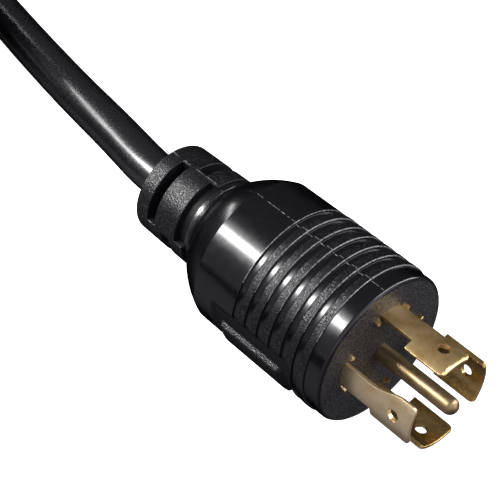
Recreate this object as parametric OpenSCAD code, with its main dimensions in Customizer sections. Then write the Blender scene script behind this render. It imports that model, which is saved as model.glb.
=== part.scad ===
// Shore power cord: a moulded five-pole locking plug, its coiled cord and the matching
// moulded connector. +X runs out of the plug's face, +Z is up, and the origin lies on the
// ground under the middle of the plug. All sizes are in millimetres.

/* [Moulded shell] */
// Radius of the smooth nose just behind the face
nose_r = 27.25; // [25.5:0.05:34]
// Length of the plug's nose, from the face back to the first rib
nose_len = 6.35; // [4:0.05:12]
// Rounding of the rim round the face
rim_round = 1.4; // [0.5:0.1:2.5]
// Radius over the grip ribs
land_r = 27.8; // [26.5:0.05:35]
// Number of grip ribs
rib_count = 6; // [3:1:8]
// Distance from one rib to the next
rib_pitch = 5.48; // [4.5:0.01:7]
// Depth of the grooves between the ribs
groove_depth = 1.05; // [0.5:0.05:1.5]
// Width of a groove's floor
groove_w = 2.15; // [1.5:0.05:3]
// Run of the slope that rises from a groove's floor to the next rib
groove_flank = 0.6; // [0.2:0.05:1]
// Length of the rounded front of each rib
land_round = 0.7; // [0.3:0.05:1]
// Radius of the plain body at the ribs
body_r = 27.6; // [26.4:0.05:35]
// Loss of radius along the plain body
body_draft = 0.2; // [0:0.05:0.8]
// Length of the plain body behind the ribs
body_len = 18.15; // [12:0.05:28]
// Radius of the shoulder's curve
shoulder_arc = 37.4; // [32:0.1:45]
// Slope at which the shoulder leaves the body
shoulder_tilt = 19.3; // [12:0.1:26]

/* [Side pad] */
// Direction of the pad's middle round the axis
pad_angle = 203; // [190:1:220]
// Half of the pad's angle
pad_half = 19; // [12:1:26]
// Half of the angle that the grooves leave plain round the pad
plain_half = 31; // [28:1:40]
// Height of the pad over the ribs
pad_rise = 0.55; // [0.3:0.05:1]
// Length of the pad
pad_len = 28.7; // [20:0.1:34]
// Distance from the first rib back to the pad
pad_inset = 10.1; // [6:0.1:14]
// Bevel round the pad's ends
pad_bevel = 0.5; // [0.2:0.05:0.5]

/* [Strain relief] */
// Radius of the neck between shoulder and collar
neck_r = 16.2; // [14:0.05:20]
// Length of the neck
neck_len = 1.8; // [1:0.05:4]
// Radius of the collar at half its length
collar_r = 17.3; // [15:0.05:22]
// Loss of radius from the collar's front to its back
collar_taper = 0.5; // [0:0.05:2]
// Length of the collar
collar_len = 24.15; // [20.5:0.05:36]
// Rounding of the collar's back edge
collar_round = 0.5; // [0.2:0.05:1]
// Width of a slot along the collar
slot_w = 3.95; // [2.5:0.05:5]
// Distance from one row of slots to the next
slot_pitch = 7.1; // [6:0.05:8]
// Radius at the bottom of the deep slots
slot_floor_r = 11.5; // [10.2:0.1:13.5]
// Radius at the bottom of the slots next to the neck
neck_slot_r = 15.3; // [13:0.1:15.9]
// Half of the web left between two slots of a row, as an angle
slot_web = 2; // [1:0.5:10]

/* [Blades and ground pin] */
// Outer radius of the ring of curved blades
blade_r = 17.76; // [16.5:0.02:19]
// Thickness of a blade
blade_t = 1.52; // [1.2:0.02:2]
// Reach of a blade in front of the face
blade_len = 28.4; // [23:0.1:32]
// Length of the bevel on a blade's tip
blade_bevel = 1; // [0.4:0.1:1.5]
// Height of a blade's shoulders over the face
ear_h = 1.25; // [0.6:0.05:2]
// Diameter of the locking hole in a blade
hole_d = 4; // [3:0.1:5]
// Distance from the face to the locking hole
hole_x = 21.7; // [17:0.1:23]
// Rounding of a blade's corners
blade_corner = 1.8; // [0.5:0.1:2.5]
// Turn of the whole blade pattern from upright
pattern_turn = -10.5; // [-15:0.5:0]
// Radius of the ground pin
pin_r = 2.96; // [2.4:0.02:3.4]
// Reach of the ground pin in front of the face
pin_len = 32; // [28:0.1:36]

/* [Inside the mouldings] */
// Thickness of the skin over the blade carrier
skin_t = 2.2; // [1.5:0.1:3]
// Wall of the blade carrier outside the blades
carrier_wall = 4.5; // [3:0.1:5]
// Thickness of the blade carrier
carrier_t = 11; // [8:0.1:13]
// Radius of the inner mould round the terminals
core_r = 20.5; // [19.5:0.1:21.5]
// Radius of the inner mould's back end
core_end_r = 11; // [10.2:0.1:12.5]
// Wall of a terminal's barrel
barrel_wall = 1; // [0.6:0.05:1.2]
// Length of a terminal's barrel
barrel_len = 15; // [10:0.5:18]
// How far a conductor's radius stays under the one at which it would touch its neighbours
wire_slack = 0.25; // [0.1:0.01:0.5]
// Clearance between fitted pieces
fit = 0.1; // [0.05:0.01:0.15]

/* [Connector] */
// Length of the connector's nose
con_nose_len = 26; // [20:0.5:34]
// Radius of the insert in the connector's face
insert_r = 23; // [22:0.1:24]
// Thickness of the insert's front wall
insert_wall = 4; // [3:0.1:5]
// Clearance on each side of a blade in its slot
slot_clear = 0.4; // [0.2:0.05:0.5]
// Thickness of a contact's spring leaves
leaf_t = 0.7; // [0.5:0.05:0.8]
// Gap between the insert's slots and its leaves
leaf_gap = 0.25; // [0.15:0.05:0.4]
// Running clearance of the ground pin in its sleeve
sleeve_clear = 0.08; // [0.05:0.01:0.1]
// Wall of the ground sleeve
sleeve_wall = 1; // [0.6:0.05:1.3]

/* [Cord and coil] */
// Diameter of the cord
cord_d = 15.8; // [13:0.1:16.2]
// Wall of the cord's jacket outside its conductors
jacket_wall = 1; // [0.7:0.05:1.6]
// Radius of the coil's innermost turn, at the cord's middle
coil_r = 67; // [60:0.5:90]
// Distance between turns that lie beside each other
coil_pitch = 16.3; // [16:0.1:20]
// Rise from one layer of turns to the next
coil_rise = 16.3; // [16:0.1:20]
// Gap between the ground and the lowest part of the cord
ground_gap = 0.1; // [0.05:0.05:0.3]

/* [Hidden] */
$fn = 96;

jacket_black = [0.08, 0.08, 0.09];
brass = [0.72, 0.58, 0.33];
nylon = [0.16, 0.16, 0.17];

// Stations along X, from the face at 0 back to the collar's end
cord_r = cord_d / 2;
crease_r = body_r - body_draft;
shoulder_cr = crease_r - shoulder_arc * cos(shoulder_tilt);
shoulder_end = acos((neck_r - shoulder_cr) / shoulder_arc);
shoulder_len = shoulder_arc * (sin(shoulder_end) - sin(shoulder_tilt));
function ribs_back(nose) = -nose - rib_count * rib_pitch;
function crease_x(nose) = ribs_back(nose) - body_len;
function neck_x(nose) = crease_x(nose) - shoulder_len;
function collar_x(nose) = neck_x(nose) - neck_len;
function shell_back(nose) = collar_x(nose) - collar_len;
plug_back = shell_back(nose_len);
con_back = shell_back(con_nose_len);

// The plug's axis height, its face, and the connector's back and face
CON_BACK = [-124, -167];
axis_h = land_r;
face_x = -(plug_back + pin_len) / 2;
con_at = [CON_BACK.x - con_back, CON_BACK.y, axis_h];

// Five conductors lie in a ring against the jacket's wall, and fit the terminals' barrels
WIRE_STEP = 72;
bundle_r = cord_r - jacket_wall;
wire_r = bundle_r * sin(WIRE_STEP / 2) / (1 + sin(WIRE_STEP / 2)) - wire_slack;
lay_r = bundle_r - wire_r;
barrel_r = wire_r + barrel_wall;

// Blades: [direction, neck from, neck to, tip from, tip to, tip's start], as angles and mm
BLADE_X = [pattern_turn + 90, -15, 15, -16, 27, 13];
BLADE_Y = [pattern_turn, -15, 15, -30, 28, 11.8];
BLADE_Z = [pattern_turn + 181, -14.5, 16, -23.5, 28.5, 12.4];
BLADE_N = [pattern_turn + 270, -15, 15, -23, 27, 11.8];
EAR = [-27, 28];
TAIL_HALF = 7;
barrel_at = blade_r - blade_t / 2 - barrel_r;
PIN_FLANGE = 1.5;
PIN_SHANK = 0.3;
EAR_CLEAR = 0.4;

// Conductors: [direction at the terminal, radius there, direction in the jacket]
wire_first = pattern_turn + 90;
WIRE_X = [BLADE_X[0], barrel_at, wire_first];
WIRE_Y = [BLADE_Y[0], barrel_at, wire_first - WIRE_STEP];
WIRE_G = [0, 0, wire_first - 2 * WIRE_STEP];
WIRE_N = [BLADE_N[0], barrel_at, wire_first - 3 * WIRE_STEP];
WIRE_Z = [BLADE_Z[0], barrel_at, wire_first + WIRE_STEP];
WIRES = [WIRE_X, WIRE_Y, WIRE_Z, WIRE_N, WIRE_G];
// A mating face is the plug's pattern seen in a mirror
function mated(a) = 180 - a;
function mated_wire(w) = [mated(w[0]), w[1], mated(w[2])];

// Where the inner mould starts: behind the carrier in the plug, the insert in the connector
carrier_back = -skin_t - carrier_t;
pin_seat = -skin_t - carrier_t / 2;
insert_depth = pin_len + insert_wall;
core_at = carrier_back - fit;
con_core_at = -insert_depth - fit;
CORE_STRAIGHT = 33;
CORE_TAPER = 20;
JACKET_IN = 47;
BEND_START = 27;
BEND_END = 43;
BARREL_START = 7;
TAIL_LAP = 2;
// Spans of a slot, of the chamber behind it and of the contact in it, as angles
SLOT_SPAN = [-31, 33];
CHAMBER_SPAN = [-34, 36];
CONTACT_HALF = 26;
LEAF_START = 1;

// The cord's two free stretches, on the ground plan and above the ground
lay_h = cord_r + ground_gap;
LEAD_START = [plug_back + face_x, 0, axis_h];
COIL_START = [-275, 31.5];
LEAD = [
    LEAD_START, [-73.7, 0, axis_h], [-81.7, 0.6, 27.6], [-89.7, 1.8, 27.2],
    [-97.7, 3.2, 26.6], [-107.7, 4.9, 25.7], [-119.7, 6.9, 24.4], [-131.7, 9.1, 22.8],
    [-145.7, 11.9, 20.9], [-159.7, 14.9, 18.9], [-173.7, 18.1, 16.7], [-187.7, 21.4, 14.5],
    [-201.7, 24.7, 12.5], [-215.7, 27.7, 10.8], [-230.7, 30.1, 9.2], [-243, 31.2, 8.3],
    [-251, COIL_START.y, lay_h], [COIL_START.x + cord_d, COIL_START.y, lay_h]
];

// The coil: four layers that spiral in, out, in and out again
LAYERS = 4;
COIL_FROM = 90;
COIL_TO = 288;
FULL_TURNS = 12;
RINGS = 24;
coil_turns = FULL_TURNS + (COIL_TO - COIL_FROM) / 360;
layer_turns = (coil_turns - (LAYERS - 1) / 2) / LAYERS;
coil_outer = coil_r + coil_pitch * layer_turns;
coil_mid = [COIL_START.x, COIL_START.y - coil_outer];
// Turns wound at the middle of each half turn in which the spiral reverses
function reversal(k) = k * layer_turns + (k - 0.5) / 2;
function layers_below(t) = len([for (k = [1:LAYERS - 1]) if (t > reversal(k)) 1]);
function spiral_r(t) =
    let (k = layers_below(t), from = k == 0 ? 0 : reversal(k), gone = coil_pitch * (t - from),
        turned = coil_pitch / 4)
    k == 0 ? coil_outer - gone
    : k % 2 == 1 ? coil_r - turned + gone : coil_outer + turned - gone;
function climb(t, k) =
    let (u = min(1, max(0, (t - reversal(k)) * 2 + 0.5))) (1 - cos(180 * u)) / 2;
function coil_h(t) = lay_h + coil_rise * (climb(t, 1) + climb(t, 2) + climb(t, 3));
function coil_point(t) =
    let (a = COIL_FROM + 360 * t, r = spiral_r(t))
    [coil_mid.x + r * cos(a), coil_mid.y + r * sin(a), coil_h(t)];
steps = round(coil_turns * RINGS);
COIL_END = coil_point(coil_turns);
coil_way_out = [-sin(COIL_TO), cos(COIL_TO), 0];
COIL_OUT = COIL_END + cord_d * coil_way_out;
COIL = concat(
    [[COIL_START.x + cord_d, COIL_START.y, lay_h]],
    [for (i = [0:steps]) coil_point(coil_turns * i / steps)],
    [COIL_OUT]
);
TAIL = [
    COIL_OUT, COIL_OUT + 8 * coil_way_out, [-208.2, -176.9, 56.2], [-198.6, -174.3, 54],
    [-188.9, -172.1, 49.7], [-178.1, -170.2, 42.4], [-167.2, -168.7, 35],
    [-157.2, -167.7, 30.9], [-147.2, -167.1, 28.6], [-137.2, CON_BACK.y, axis_h],
    [CON_BACK.x, CON_BACK.y, axis_h]
];

// Least distance between the coil's surface and itself, on points over half a turn apart
function turn_gap(i) =
    min([for (j = [i + round(RINGS / 2):len(COIL) - 1]) norm(COIL[i] - COIL[j])]);
echo(coil_least_gap = min([for (i = [0:len(COIL) - 1 - RINGS]) turn_gap(i)]) - cord_d);
function run(p) = len(p) < 2 ? 0 : [for (i = [1:len(p) - 1]) norm(p[i] - p[i - 1])]
    * [for (i = [1:len(p) - 1]) 1];
echo(cord_length = run(LEAD) + run(COIL) + run(TAIL)
    + (-plug_back - JACKET_IN + core_at) + (-con_back - JACKET_IN + con_core_at));

// Points of an arc in a profile, as [radius, station]
function arc(cr, cx, rad, from, to, n = 8) =
    [for (i = [0:n]) let (a = from + (to - from) * i / n) [cr + rad * cos(a), cx + rad * sin(a)]];

// Revolves a profile of [radius, station] round X, all the way or between two directions
module turned(from = 0, to = 360) {
    rotate([0, 90, 0]) rotate([0, 0, from + 90]) rotate_extrude(angle = to - from) children();
}

// A part of a ring round X
module ring_part(from, to, r0, r1, x0, x1) {
    turned(from, to) polygon([[r0, x0], [r1, x0], [r1, x1], [r0, x1]]);
}

// A solid cylinder along X
module rod_x(r, x0, x1) {
    translate([x0, 0, 0]) rotate([0, 90, 0]) cylinder(h = x1 - x0, r = r);
}

function polar(a, r, x) = [x, r * cos(a), r * sin(a)];

// A straight round rod between two points
module rod(p, q, r) {
    v = q - p;
    long = norm(v);
    translate(p) rotate([0, acos(v.z / long), atan2(v.y, v.x)]) cylinder(h = long, r = r);
}

// Turns what stands on the ground plan so that its height points outward at an angle
module outward(a) {
    multmatrix([[0, 1, 0, 0], [-sin(a), 0, cos(a), 0], [cos(a), 0, sin(a), 0], [0, 0, 0, 1]])
        children();
}

// ---- the moulded shell, shared by the plug and the connector ----
// nose is its length in front of the ribs, and at the front of the inner mould in it

function shell_profile(nose) =
    let (rb = ribs_back(nose), cx = crease_x(nose), nx = neck_x(nose), kx = collar_x(nose),
        bx = shell_back(nose), rk = collar_r + collar_taper / 2, re = collar_r - collar_taper / 2)
    concat(
        [[0, 0]],
        arc(nose_r - rim_round, -rim_round, rim_round, 90, 0),
        [[nose_r, -nose], [land_r - 0.4, -nose], [land_r - 0.12, -nose - land_round / 2]],
        [[land_r, -nose - land_round], [land_r, rb], [body_r, rb]],
        arc(shoulder_cr, cx + shoulder_arc * sin(shoulder_tilt), shoulder_arc,
            -shoulder_tilt, -shoulder_end, 14),
        [[neck_r, kx], [rk, kx], [re, bx + collar_round], [re - collar_round, bx], [0, bx]]
    );

function groove_profile(xf) = [
    [land_r + groove_depth, xf - land_round * 1.5], [land_r + 0.12, xf - land_round * 1.5],
    [land_r - 0.12, xf - land_round / 2], [land_r - 0.4, xf], [land_r - groove_depth, xf],
    [land_r - groove_depth, xf + groove_w],
    [land_r + groove_depth, xf + groove_w + 2 * groove_flank]
];

module slot_row(k, from, floor_r, nose) {
    x0 = collar_x(nose) - k * slot_pitch;
    for (q = [0, 180])
        ring_part(from + q + slot_web, from + q + 90 - slot_web, floor_r, collar_r + 3,
            x0 - slot_w, x0);
}

module shell(nose, at) {
    pad_r = land_r + pad_rise;
    pad_front = -nose - pad_inset;
    difference() {
        union() {
            turned() polygon(shell_profile(nose));
            turned(pad_angle - pad_half, pad_angle + pad_half) polygon([
                [land_r - 1, pad_front - pad_len], [land_r, pad_front - pad_len],
                [pad_r, pad_front - pad_len + pad_bevel], [pad_r, pad_front - pad_bevel],
                [land_r, pad_front], [land_r - 1, pad_front]
            ]);
        }
        for (k = [1:rib_count])
            turned(pad_angle + plain_half, pad_angle - plain_half + 360)
                polygon(groove_profile(-nose - k * rib_pitch));
        slot_row(0, 90, neck_slot_r, nose);
        slot_row(1, 0, slot_floor_r, nose);
        slot_row(2, 90, slot_floor_r, nose);
        rod_x(cord_r + fit, shell_back(nose) - 1, at - JACKET_IN);
    }
}

// ---- what the mouldings hold ----

function core_profile(at, grow) = [
    [0, at + grow], [core_r + grow, at + grow], [core_r + grow, at - CORE_STRAIGHT],
    [core_end_r + grow, at - CORE_STRAIGHT - CORE_TAPER - grow],
    [0, at - CORE_STRAIGHT - CORE_TAPER - grow]
];

// A conductor's route: straight out of its barrel, in an S to its place in the jacket's ring
// of conductors, and straight on to the moulding's back
function s_curve(u) = (1 - cos(180 * u)) / 2;
function wire_route(w, at, back) =
    let (p = polar(w[0], w[1], 0), q = polar(w[2], lay_r, 0))
    concat(
        [[at - BARREL_START - 3, p.y, p.z]],
        [for (i = [0:6]) let (u = i / 6, v = s_curve(u))
            [at - BEND_START + (BEND_START - BEND_END) * u, p.y + (q.y - p.y) * v,
                p.z + (q.z - p.z) * v]],
        [[back, q.y, q.z]]
    );

module wire(w, at, back) {
    tube(wire_route(w, at, back), 10, wire_r - fit);
}

// The room that the inner mould leaves for the barrels and the conductors
module terminals_room(at, wires) {
    end = at - CORE_STRAIGHT - CORE_TAPER - 1;
    for (w = wires) {
        rod(polar(w[0], w[1], at - BEND_START - 5), polar(w[0], w[1], at + 1), barrel_r + fit);
        rod(polar(w[2], lay_r, end), polar(w[2], lay_r, at - BEND_END + 5.5), wire_r + fit / 2);
        rod(polar(w[2], lay_r + 0.4, at - BEND_END + 1.5),
            polar(w[0], w[1] - 0.4, at - BEND_START - 1.5), wire_r + 0.5);
    }
}

module inner_mould(at, wires) {
    difference() {
        turned() polygon(core_profile(at, 0));
        terminals_room(at, wires);
        rod_x(cord_r + fit, at - CORE_STRAIGHT - CORE_TAPER - 1, at - JACKET_IN + fit);
        for (w = wires)
            if (w[1] > 0)
                ring_part(w[0] - TAIL_HALF - 1, w[0] + TAIL_HALF + 1,
                    blade_r - blade_t - fit, blade_r + fit, at - BARREL_START - TAIL_LAP - fit,
                    at + 1);
    }
}

module cord_end(at, back, wires) {
    difference() {
        rod_x(cord_r, back, at - JACKET_IN);
        for (w = wires)
            rod(polar(w[2], lay_r, back - 1), polar(w[2], lay_r, at), wire_r + fit / 2);
    }
}

// A terminal's barrel, and the bore through it
module barrel(a, at) {
    rod(polar(a, barrel_at, at - BARREL_START - barrel_len + fit),
        polar(a, barrel_at, at - BARREL_START), barrel_r);
}

module barrel_bore(a, at) {
    rod(polar(a, barrel_at, at - BARREL_START - barrel_len - 1),
        polar(a, barrel_at, at - BARREL_START + 1), wire_r);
}

// ---- the plug ----

// A rounded corner cut from the tip of a blade; side is 1 or -1
module corner_cut(a, side) {
    tip = blade_len;
    c = blade_corner;
    past = 0.3;
    lift = 0.04;
    outward(a) translate([0, 0, blade_r - 3 * blade_t])
        linear_extrude(5 * blade_t) polygon(concat(
            [[side, tip - c - past], [side, tip + 1], [-side * (c + past), tip + 1]],
            [[-side * (c + past), tip + lift]],
            [for (i = [1:5]) [-side * c + side * c * sin(15 * i), tip - c + c * cos(15 * i)]],
            [[side * lift, tip - c - past]]
        ));
}

// The curve by which one edge of a blade widens towards its tip
module flare_cut(b) {
    half = (blade_r - blade_t / 2) * sin((b[1] - b[3]) / 2);
    from = b[5] - 1;
    to = hole_x + 2;
    outward(b[0] + (b[1] + b[3]) / 2) translate([0, 0, blade_r - 3 * blade_t])
        linear_extrude(5 * blade_t) polygon(concat(
            [[-6, ear_h], [half, ear_h]],
            [for (i = [0:10]) [half * cos(18 * i), from + (to - from) * i / 10]],
            [[-half, blade_len + 1], [-6, blade_len + 1]]
        ));
}

// Cuts a blade's blank away below or above an angle, between two stations
module cut_below(a, x0, x1) {
    ring_part(a - 30, a, blade_r - 2 * blade_t, blade_r + blade_t, x0, x1);
}

module cut_above(a, x0, x1) {
    ring_part(a, a + 30, blade_r - 2 * blade_t, blade_r + blade_t, x0, x1);
}

// A blade with its shoulders and tail, cut from one curved blank
module blade_strip(b, flared) {
    ri = blade_r - blade_t;
    tail = core_at - BARREL_START - TAIL_LAP;
    difference() {
        turned(b[0] + min(EAR[0], b[3]) - 3, b[0] + max(EAR[1], b[4]) + 3) polygon([
            [ri, tail], [blade_r, tail], [blade_r, blade_len - blade_bevel],
            [blade_r - 0.6, blade_len], [ri + 0.2, blade_len], [ri, blade_len - 0.2]
        ]);
        cut_below(b[0] - TAIL_HALF, tail - 1, carrier_back);
        cut_above(b[0] + TAIL_HALF, tail - 1, carrier_back);
        cut_below(b[0] + EAR[0], tail - 1, ear_h + 1);
        cut_above(b[0] + EAR[1], tail - 1, ear_h + 1);
        cut_above(b[0] + b[2], ear_h, b[5]);
        cut_above(b[0] + b[4], b[5] - 1, blade_len + 1);
        if (flared) {
            flare_cut(b);
        } else {
            cut_below(b[0] + b[1], ear_h, b[5]);
            cut_below(b[0] + b[3], b[5] - 1, blade_len + 1);
        }
        outward(b[0]) translate([0, hole_x, ri - 1]) cylinder(h = blade_t + 2, d = hole_d);
        corner_cut(b[0] + b[3], -1);
        corner_cut(b[0] + b[4], 1);
    }
}

module blade(b, flared = false) {
    difference() {
        union() {
            blade_strip(b, flared);
            barrel(b[0], core_at);
        }
        barrel_bore(b[0], core_at);
    }
}

// The ground pin's rod, its thicker shank, flange and barrel, without its tip and bore
module pin_stack(grow) {
    rod_x(pin_r + grow, pin_seat, pin_len - pin_r);
    rod_x(pin_r + PIN_SHANK + grow, pin_seat, PIN_SHANK);
    rod_x(pin_r + PIN_FLANGE + grow, pin_seat - PIN_FLANGE - grow, pin_seat + grow);
    rod_x(barrel_r + grow, core_at - BARREL_START - barrel_len + fit, pin_seat);
}

module plug_place() {
    translate([face_x, 0, axis_h]) children();
}

module plug_body() {
    color(jacket_black) plug_place() difference() {
        shell(nose_len, core_at);
        rod_x(blade_r + carrier_wall + fit, carrier_back - fit, -skin_t + fit);
        turned() polygon(core_profile(core_at, fit));
        for (b = [BLADE_X, BLADE_Y, BLADE_Z, BLADE_N])
            ring_part(b[0] + EAR[0] - EAR_CLEAR, b[0] + EAR[1] + EAR_CLEAR, blade_r - blade_t - fit,
                blade_r + fit, -skin_t - 1, 1);
        rod_x(pin_r + PIN_SHANK + fit, -skin_t - 1, 1);
    }
}

module blade_carrier() {
    color(nylon) plug_place() difference() {
        rod_x(blade_r + carrier_wall, carrier_back, -skin_t);
        for (b = [BLADE_X, BLADE_Y, BLADE_Z, BLADE_N])
            ring_part(b[0] + EAR[0] - EAR_CLEAR, b[0] + EAR[1] + EAR_CLEAR, blade_r - blade_t - fit,
                blade_r + fit, carrier_back - 1, 1);
        pin_stack(fit);
    }
}

module blade_x() { color(brass) plug_place() blade(BLADE_X); }
module blade_y() { color(brass) plug_place() blade(BLADE_Y); }
module blade_z() { color(brass) plug_place() blade(BLADE_Z, true); }
module blade_neutral() { color(brass) plug_place() blade(BLADE_N); }

module ground_pin() {
    color(brass) plug_place() difference() {
        union() {
            pin_stack(0);
            translate([pin_len - pin_r, 0, 0]) sphere(r = pin_r);
        }
        rod_x(wire_r, core_at - BARREL_START - barrel_len - 1,
            core_at - BARREL_START + 1);
    }
}

module plug_inner_mould() { color(nylon) plug_place() inner_mould(core_at, WIRES); }
module plug_cord_end() { color(jacket_black) plug_place() cord_end(core_at, plug_back, WIRES); }
module plug_wire(w, c) { color(c) plug_place() wire(w, core_at, plug_back); }
module plug_wire_x() { plug_wire(WIRE_X, "black"); }
module plug_wire_y() { plug_wire(WIRE_Y, "red"); }
module plug_wire_z() { plug_wire(WIRE_Z, "orange"); }
module plug_wire_neutral() { plug_wire(WIRE_N, "white"); }
module plug_wire_ground() { plug_wire(WIRE_G, "green"); }

// ---- the cord ----

function ahead(p, i) =
    let (d = p[min(i + 1, len(p) - 1)] - p[max(i - 1, 0)]) d / norm(d);

// Sweeps a closed tube along a route; its ends are square to the first and last step
module tube(p, sides, r) {
    n = len(p);
    pts = [
        for (i = [0:n - 1])
            let (t = ahead(p, i), s = cross(t, [0, 0, 1]) / norm(cross(t, [0, 0, 1])), u = cross(s, t))
            for (k = [0:sides - 1])
                let (a = 360 * k / sides + 90) p[i] + r * (s * cos(a) + u * sin(a))
    ];
    sides_faces = [
        for (i = [0:n - 2], k = [0:sides - 1])
            let (a = i * sides + k, b = i * sides + (k + 1) % sides)
            each [[a, a + sides, b], [b, a + sides, b + sides]]
    ];
    start = [for (k = [1:sides - 2]) [0, k, k + 1]];
    end = [for (k = [1:sides - 2]) [(n - 1) * sides, (n - 1) * sides + k + 1, (n - 1) * sides + k]];
    polyhedron(points = pts, faces = concat(sides_faces, start, end));
}

module cord_lead() { color(jacket_black) tube(LEAD, 12, cord_r); }
module cord_coil() { color(jacket_black) tube(COIL, 6, cord_r); }
module cord_tail() { color(jacket_black) tube(TAIL, 12, cord_r); }

// ---- the connector ----

module con_place() {
    translate(con_at) children();
}

module connector_body() {
    color(jacket_black) con_place() difference() {
        shell(con_nose_len, con_core_at);
        rod_x(insert_r + fit, -insert_depth - fit, 1);
        turned() polygon(core_profile(con_core_at, fit));
    }
}

module connector_insert() {
    ri = blade_r - blade_t - slot_clear;
    ro = blade_r + slot_clear;
    color(nylon) con_place() difference() {
        rod_x(insert_r, -insert_depth, 0);
        for (b = [BLADE_X, BLADE_Y, BLADE_Z, BLADE_N]) {
            m = mated(b[0]);
            ring_part(m + SLOT_SPAN[0], m + SLOT_SPAN[1], ri, ro, -insert_wall - 1, 1);
            ring_part(m + CHAMBER_SPAN[0], m + CHAMBER_SPAN[1], ri - leaf_t, ro + leaf_t,
                -insert_depth - 1, -insert_wall);
        }
        rod_x(pin_r + slot_clear, -insert_wall - 1, 1);
        rod_x(pin_r + sleeve_clear + sleeve_wall + fit, -insert_depth - 1, -insert_wall);
    }
}

// A spring contact: two curved leaves joined at the back, and a barrel for the conductor
module contact(b) {
    m = mated(b[0]);
    ri = blade_r - blade_t - slot_clear + leaf_gap;
    ro = blade_r + slot_clear - leaf_gap;
    back = -insert_depth + 0.2;
    front = -insert_wall - LEAF_START;
    color(brass) con_place() difference() {
        union() {
            turned(m - CONTACT_HALF, m + CONTACT_HALF) polygon([
                [ri - leaf_t, back], [ro + leaf_t, back], [ro + leaf_t, front], [ro, front],
                [ro, back + 1], [ri, back + 1], [ri, front], [ri - leaf_t, front]
            ]);
            ring_part(m - TAIL_HALF, m + TAIL_HALF, blade_r - blade_t, blade_r,
                con_core_at - BARREL_START - TAIL_LAP, back + 0.5);
            barrel(m, con_core_at);
        }
        barrel_bore(m, con_core_at);
    }
}

module contact_x() { contact(BLADE_X); }
module contact_y() { contact(BLADE_Y); }
module contact_z() { contact(BLADE_Z); }
module contact_neutral() { contact(BLADE_N); }

module ground_sleeve() {
    bore_r = pin_r + sleeve_clear;
    color(brass) con_place() difference() {
        union() {
            rod_x(bore_r + sleeve_wall, -insert_depth, -insert_wall - 0.3);
            rod_x(barrel_r, con_core_at - BARREL_START - barrel_len + fit, -insert_depth);
        }
        rod_x(bore_r, -insert_depth + 2, 1);
        rod_x(wire_r, con_core_at - BARREL_START - barrel_len - 1,
            con_core_at - BARREL_START + 1);
    }
}

con_wires = [for (w = WIRES) mated_wire(w)];
module connector_inner_mould() {
    color(nylon) con_place() inner_mould(con_core_at, con_wires);
}
module connector_cord_end() {
    color(jacket_black) con_place() cord_end(con_core_at, con_back, con_wires);
}
module con_wire(w, c) {
    color(c) con_place() wire(mated_wire(w), con_core_at, con_back);
}
module connector_wire_x() { con_wire(WIRE_X, "black"); }
module connector_wire_y() { con_wire(WIRE_Y, "red"); }
module connector_wire_z() { con_wire(WIRE_Z, "orange"); }
module connector_wire_neutral() { con_wire(WIRE_N, "white"); }
module connector_wire_ground() { con_wire(WIRE_G, "green"); }

plug_body();
blade_carrier();
blade_x();
blade_y();
blade_z();
blade_neutral();
ground_pin();
plug_inner_mould();
plug_cord_end();
plug_wire_x();
plug_wire_y();
plug_wire_z();
plug_wire_neutral();
plug_wire_ground();
cord_lead();
cord_coil();
cord_tail();
connector_body();
connector_insert();
contact_x();
contact_y();
contact_z();
contact_neutral();
ground_sleeve();
connector_inner_mould();
connector_cord_end();
connector_wire_x();
connector_wire_y();
connector_wire_z();
connector_wire_neutral();
connector_wire_ground();
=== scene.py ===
import bpy, bmesh, math
from mathutils import Matrix, Vector


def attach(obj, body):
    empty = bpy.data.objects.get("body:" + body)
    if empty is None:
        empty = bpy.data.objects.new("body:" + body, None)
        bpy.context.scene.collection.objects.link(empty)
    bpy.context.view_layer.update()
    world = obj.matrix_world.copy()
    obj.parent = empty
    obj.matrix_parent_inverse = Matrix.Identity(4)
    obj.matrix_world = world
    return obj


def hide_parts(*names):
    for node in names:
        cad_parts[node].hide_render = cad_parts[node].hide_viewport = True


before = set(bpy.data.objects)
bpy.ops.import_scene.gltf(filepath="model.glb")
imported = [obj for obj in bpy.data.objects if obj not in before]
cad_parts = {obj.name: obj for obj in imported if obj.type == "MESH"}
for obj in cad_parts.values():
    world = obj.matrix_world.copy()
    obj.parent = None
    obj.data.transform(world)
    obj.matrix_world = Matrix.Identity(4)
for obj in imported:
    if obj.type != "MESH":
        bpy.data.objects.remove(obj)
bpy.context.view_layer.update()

# The looks of a shore power cord: a moulded locking plug with its blades and pin, the round
# cord, most of it wound in a coil, and the connector at its far end.

MM = 0.001
scene = bpy.context.scene
scene.view_settings.view_transform = "Standard"


def added(name, data):
    """A new object in the scene."""
    thing = bpy.data.objects.new(name, data)
    scene.collection.objects.link(thing)
    return thing


def facing(x, y, z):
    """The turn that points an object's axes along three directions."""
    return Matrix((x, y, z)).transposed().to_4x4()


# ---------------------------------------------------------------- camera

# Fitted to the plug's outline, ribs, face and blades in the photo
CAMERA_AT = (0.23469, -0.23788, 0.39264)
CAMERA_RIGHT, CAMERA_AHEAD = (0.6728, 0.7398, 0), (-0.51402, 0.46749, -0.71919)
SENSOR, LENS = 36, 110.08

camera = added("camera", bpy.data.cameras.new("camera"))
right, ahead = Vector(CAMERA_RIGHT).normalized(), Vector(CAMERA_AHEAD).normalized()
camera.matrix_world = Matrix.Translation(CAMERA_AT) @ facing(right, right.cross(ahead), -ahead)
camera.data.sensor_width = SENSOR
camera.data.lens = LENS
scene.camera = camera

# ---------------------------------------------------------------- sizes

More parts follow.
